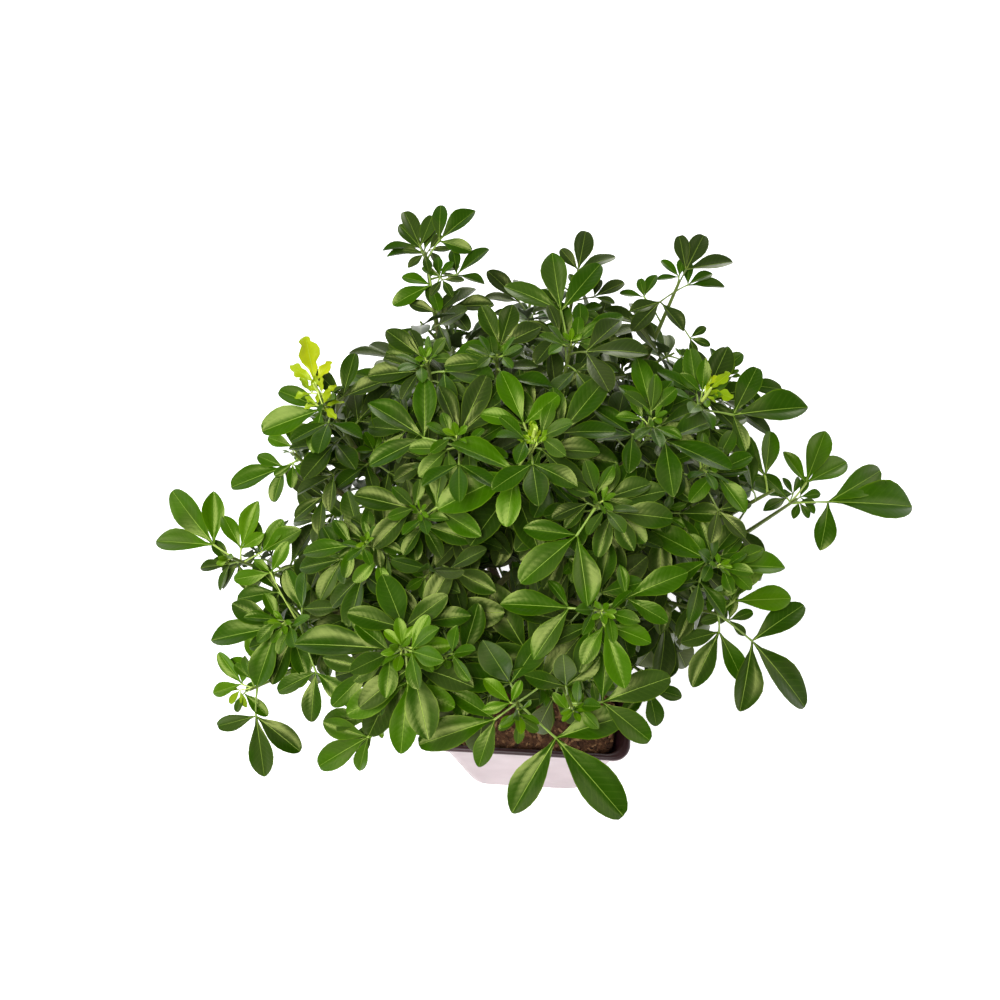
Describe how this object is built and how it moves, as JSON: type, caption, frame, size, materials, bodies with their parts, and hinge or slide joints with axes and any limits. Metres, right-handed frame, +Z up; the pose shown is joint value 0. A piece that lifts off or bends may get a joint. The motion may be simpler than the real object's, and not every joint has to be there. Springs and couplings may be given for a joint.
{
  "type": "potted mexican orange",
  "caption": "Bushy evergreen Mexican orange shrub with glossy trifoliate leaves and bright young tips, growing in a pale rounded square plastic pot with a dark rim.",
  "frame": {"origin": "middle of the pot's flat underside, on the ground", "axes": "+Z up, the pot's sides along X and Y, -Y the front, where the shrub's large low leaves hang over the rim"},
  "size_m": [0.5895, 0.4284, 0.5306],
  "materials": {
    "pot_plastic": "satin moulded plastic, pale pinkish grey with a maroon lip",
    "peat": "rough fibrous peat and bark",
    "label_plastic": "plain matt plastic",
    "bark": "smooth thin bark, olive brown",
    "leaf": "glossy, leathery evergreen leaf",
    "young_leaf": "soft, slightly glossy young leaf"
  },
  "bodies": {
    "root": {"plant_label": "label_plastic", "pot": "pot_plastic", "root_ball": "peat", "shoot_back_left_tall": "leaf", "shoot_back_low": "leaf", "shoot_back_low_left": "leaf", "shoot_back_low_right": "leaf", "shoot_back_middle": "leaf", "shoot_back_right_tall": "leaf", "shoot_back_shoulder_left": "leaf", "shoot_back_shoulder_right": "leaf", "shoot_back_skirt_left": "leaf", "shoot_back_skirt_right": "leaf", "shoot_back_skirt_side": "leaf", "shoot_front_edge": "leaf", "shoot_front_left": "leaf", "shoot_front_low": "leaf", "shoot_front_middle": "leaf", "shoot_front_right": "leaf", "shoot_left_bright": "leaf", "shoot_left_dark": "leaf", "shoot_left_far": "leaf", "shoot_left_hanging": "leaf", "shoot_left_low": "leaf", "shoot_left_shoulder": "leaf", "shoot_left_side": "leaf", "shoot_left_skirt": "leaf", "shoot_lower_middle": "leaf", "shoot_middle_bright": "leaf", "shoot_middle_left": "leaf", "shoot_right_back": "leaf", "shoot_right_bright": "leaf", "shoot_right_far": "leaf", "shoot_right_low": "leaf", "shoot_right_shoulder": "leaf", "shoot_right_side": "leaf", "shoot_right_skirt": "leaf", "shoot_right_skirt_back": "leaf", "shoot_side_low_left": "leaf", "shoot_side_low_right": "leaf", "shoot_top_back": "leaf", "shoot_top_back_left": "leaf", "shoot_top_left": "leaf", "shoot_top_middle": "leaf", "shoot_top_right": "leaf", "wood": "bark", "young_left_bright": "young_leaf", "young_middle_bright": "young_leaf", "young_right_bright": "young_leaf"}
  },
  "joints": []
}
